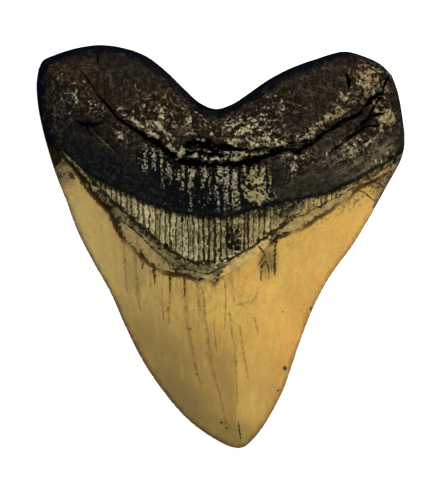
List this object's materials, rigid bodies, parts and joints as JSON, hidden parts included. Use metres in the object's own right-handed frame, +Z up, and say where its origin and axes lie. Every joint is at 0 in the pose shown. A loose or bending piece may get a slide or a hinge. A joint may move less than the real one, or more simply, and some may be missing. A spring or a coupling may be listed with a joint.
{
  "type": "fossil megalodon tooth",
  "caption": "Large triangular fossil shark tooth with a golden enamel blade, a ridged dark band and a thick two-lobed cracked root, lying on its flat face.",
  "frame": {"origin": "on the surface that the tooth lies on, under the middle of its bounding box", "axes": "+Y from the tip towards the root, +X to the right with the rounded (lingual) face up, +Z up, away from the flat (labial) face"},
  "size_m": [0.1185, 0.13, 0.0266],
  "materials": {
    "fossil_tooth": "satin"
  },
  "bodies": {
    "root": {"tooth": "fossil_tooth"}
  },
  "joints": []
}
